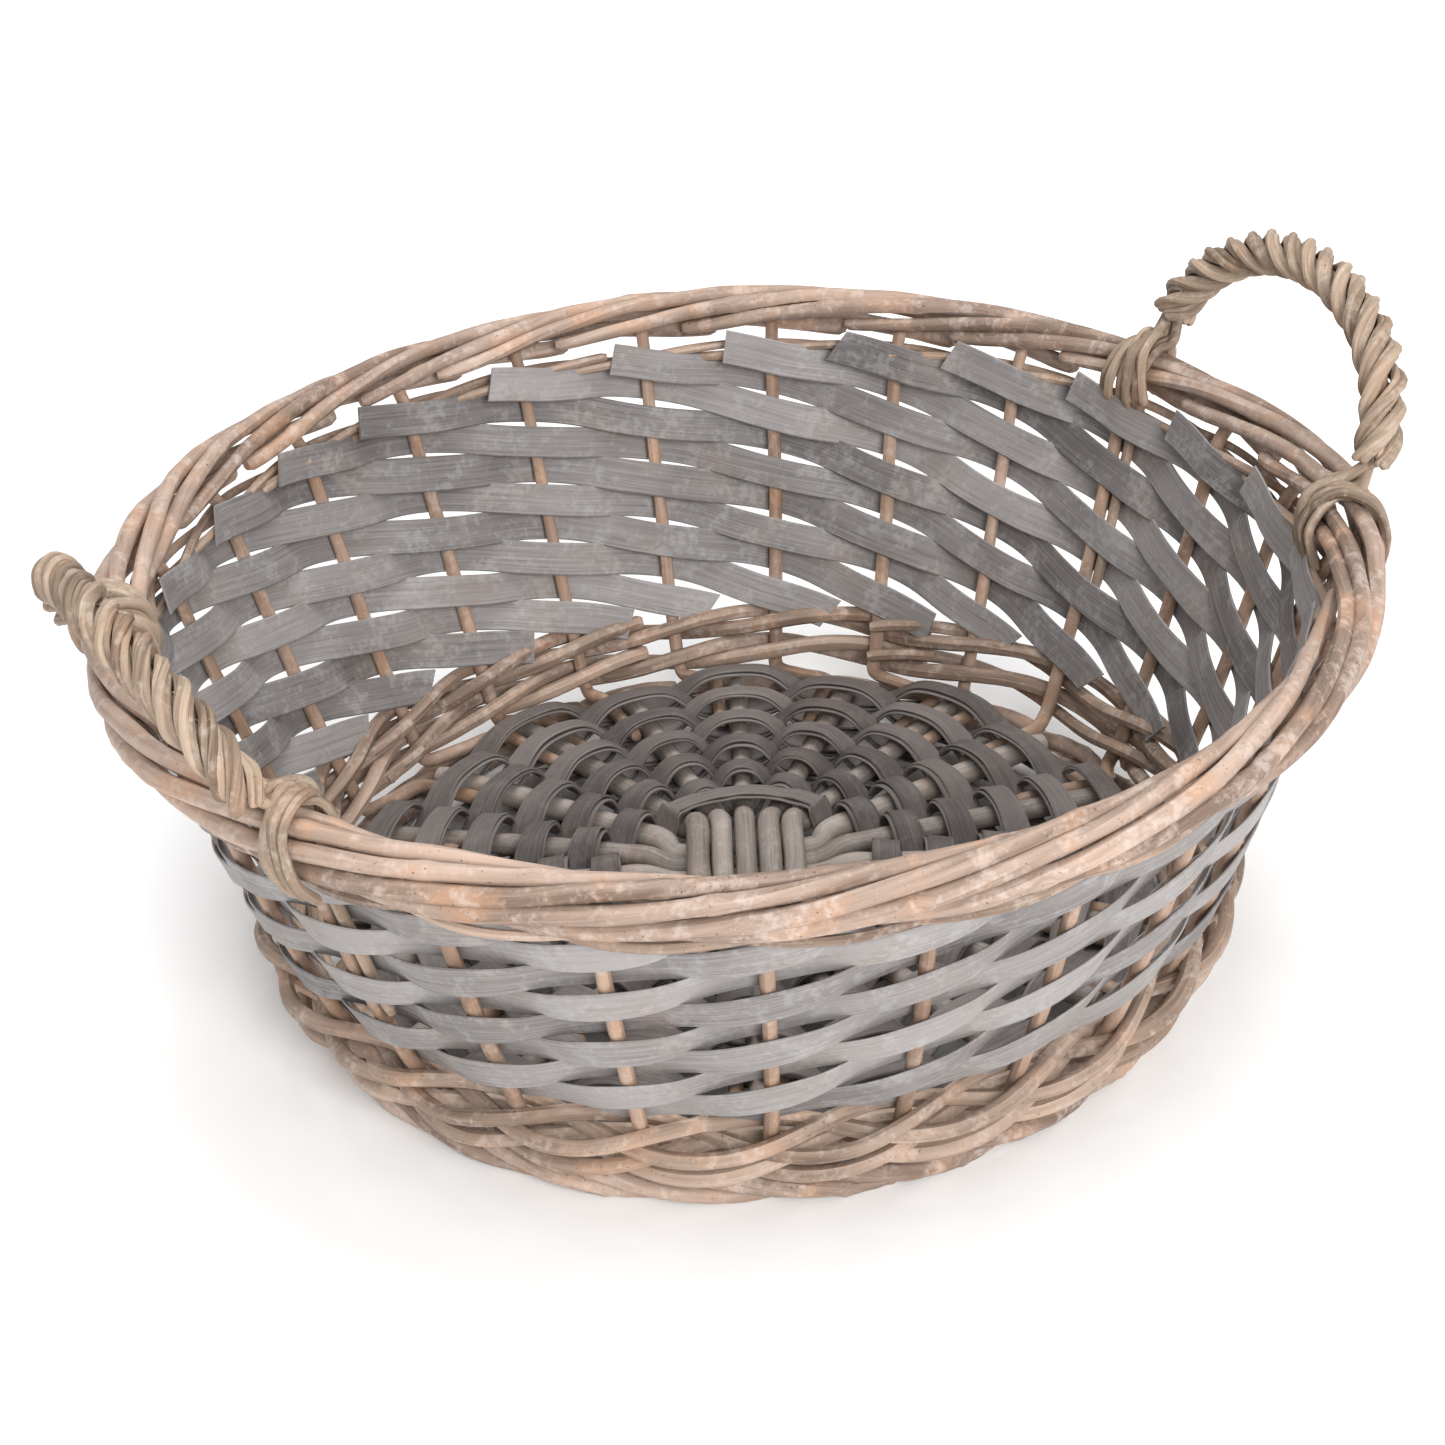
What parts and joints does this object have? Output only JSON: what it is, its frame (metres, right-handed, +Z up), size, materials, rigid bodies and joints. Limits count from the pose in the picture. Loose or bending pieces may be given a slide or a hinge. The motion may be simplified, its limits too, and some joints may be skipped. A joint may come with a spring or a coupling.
{
  "type": "woven wicker basket",
  "caption": "round woven wicker basket with a sloping wall of flat grey strips, a rolled rod rim and two roped hoop handles",
  "frame": {"origin": "on the floor under the centre of the basket, at the lowest level of the foot border", "axes": "+Z up out of the open mouth, +X and -X towards the two handles, +Y across them"},
  "size_m": [0.4246, 0.3995, 0.2004],
  "materials": {
    "stick": "matt grey peeled willow sticks, about 7.5 mm thick",
    "base_strip": "matt warm grey flat split strips",
    "stake": "matt tan peeled willow rod",
    "border_rod": "matt pinkish beige willow rod with a pale bloom",
    "wale_rod": "matt beige brown thin willow rod",
    "wall_strip": "matt grey stained wood chip strip with fine grain along it",
    "handle_rod": "matt yellowish beige twisted willow rod"
  },
  "bodies": {
    "root": {"base_sticks_lower": "stick", "base_sticks_upper": "stick", "base_weave_rings": "base_strip", "side_stakes": "stake", "foot_border_rods": "border_rod", "lower_wale_row_1": "wale_rod", "lower_wale_row_2": "wale_rod", "wall_strips": "wall_strip", "top_wale_row": "wale_rod", "rim_border_rods": "border_rod", "handle_1_bow": "handle_rod", "handle_1_roping": "handle_rod", "handle_1_lashing_a": "handle_rod", "handle_1_lashing_b": "handle_rod", "handle_2_bow": "handle_rod", "handle_2_roping": "handle_rod", "handle_2_lashing_a": "handle_rod", "handle_2_lashing_b": "handle_rod"}
  },
  "joints": []
}
